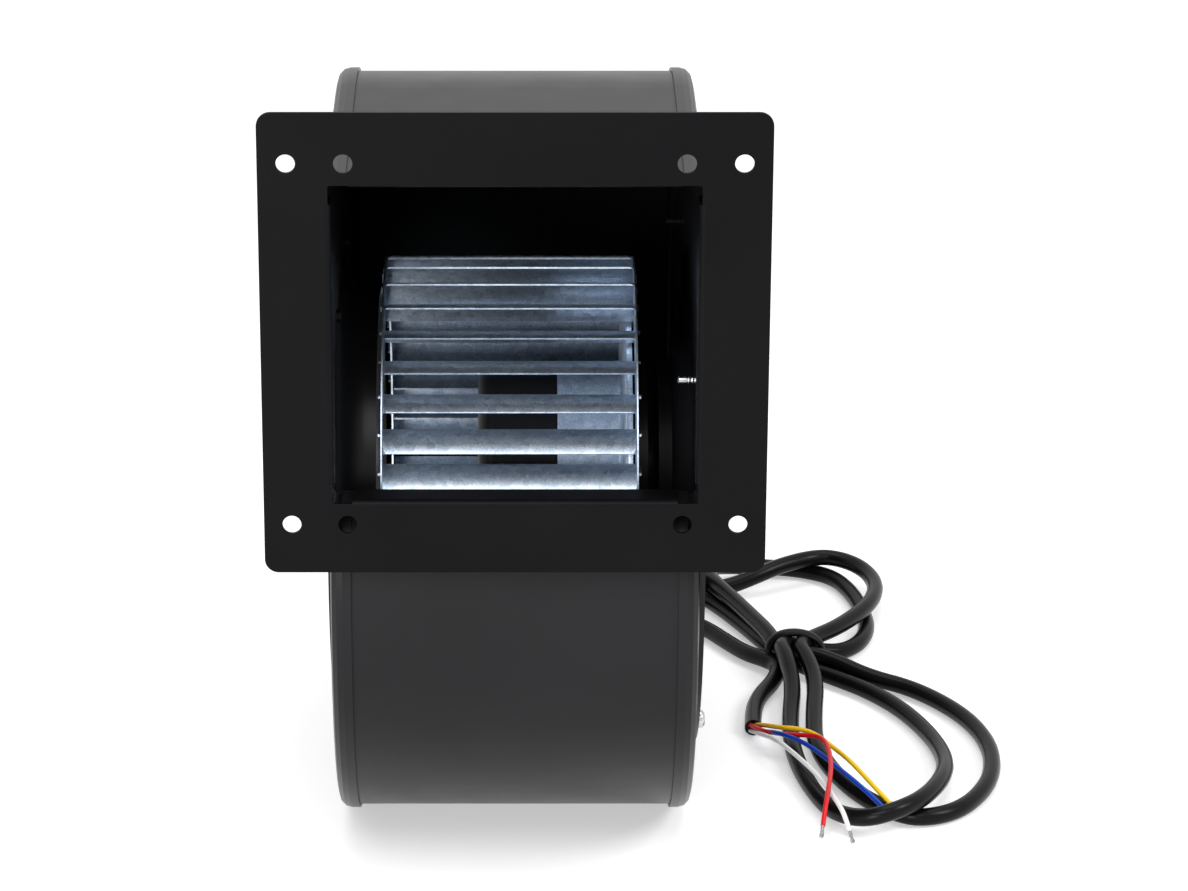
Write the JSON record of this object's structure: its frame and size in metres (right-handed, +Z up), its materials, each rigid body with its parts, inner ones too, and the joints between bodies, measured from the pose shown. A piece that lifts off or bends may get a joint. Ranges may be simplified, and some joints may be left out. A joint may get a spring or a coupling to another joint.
{
  "type": "dc centrifugal blower fan",
  "caption": "Centrifugal blower: scroll housing of folded sheet, flanged square outlet, forward-curved wheel round an external-rotor motor, and a tied cable hank.",
  "frame": {"origin": "on the surface that the blower stands on, in the middle of the housing's width and depth", "axes": "+X along the wheel's axis from the inlet to the motor side, the outlet faces -Y, +Z up"},
  "size_m": [0.2845, 0.3484, 0.3088],
  "materials": {
    "black_paint": "satin powder coat",
    "motor_paint": "satin",
    "galvanised": "galvanised sheet with fine spangle",
    "zinc": "bright zinc plate",
    "bearing_steel": "ground",
    "lamination": "stacked sheet edges",
    "ferrite": "sintered, matte",
    "die_cast": "die cast",
    "winding": "enamelled copper",
    "insulation": "moulded",
    "circuit_board": "solder resist",
    "chip": "moulded",
    "rubber_black": "soft satin",
    "cable_black": "semi-gloss sheath",
    "tie_black": "satin tape",
    "core_yellow": "semi-gloss",
    "core_red": "semi-gloss",
    "core_blue": "semi-gloss",
    "core_white": "semi-gloss",
    "tinned": "tinned"
  },
  "bodies": {
    "housing": {"scroll_band": "black_paint", "inlet_side_plate": "black_paint", "motor_side_plate": "black_paint", "outlet_flange": "black_paint", "inlet_nozzle": "black_paint", "nozzle_rivets": "black_paint", "motor_plate": "black_paint", "motor_plate_screws": "zinc", "motor_flange_screws": "zinc", "motor_flange": "die_cast", "stator_core": "lamination", "stator_insulation": "insulation", "stator_coils": "winding", "driver_board": "circuit_board", "board_chips": "chip", "bearing_outer_rings": "bearing_steel", "bearing_shields": "zinc", "bearing_balls": "bearing_steel", "cable_boot": "rubber_black", "cable_lead": "cable_black", "cable_hank": "cable_black", "cable_tie": "tie_black", "cable_tail": "cable_black", "core_yellow": "core_yellow", "core_red": "core_red", "core_blue": "core_blue", "core_white": "core_white", "core_tips": "tinned"},
    "wheel": {"wheel_blades": "galvanised", "inlet_end_ring": "galvanised", "motor_end_ring": "galvanised", "hub_plate": "galvanised", "rotor_cup": "motor_paint", "magnet_ring": "ferrite", "rotor_shaft": "bearing_steel", "bearing_inner_rings": "bearing_steel", "shaft_circlip": "zinc", "preload_washer": "zinc"}
  },
  "joints": [
    {"name": "wheel_spin", "type": "hinge", "parent": "housing", "child": "wheel", "pos_m": [0, -0.01934, 0.13542], "axis": [1, 0, 0], "continuous": true}
  ]
}
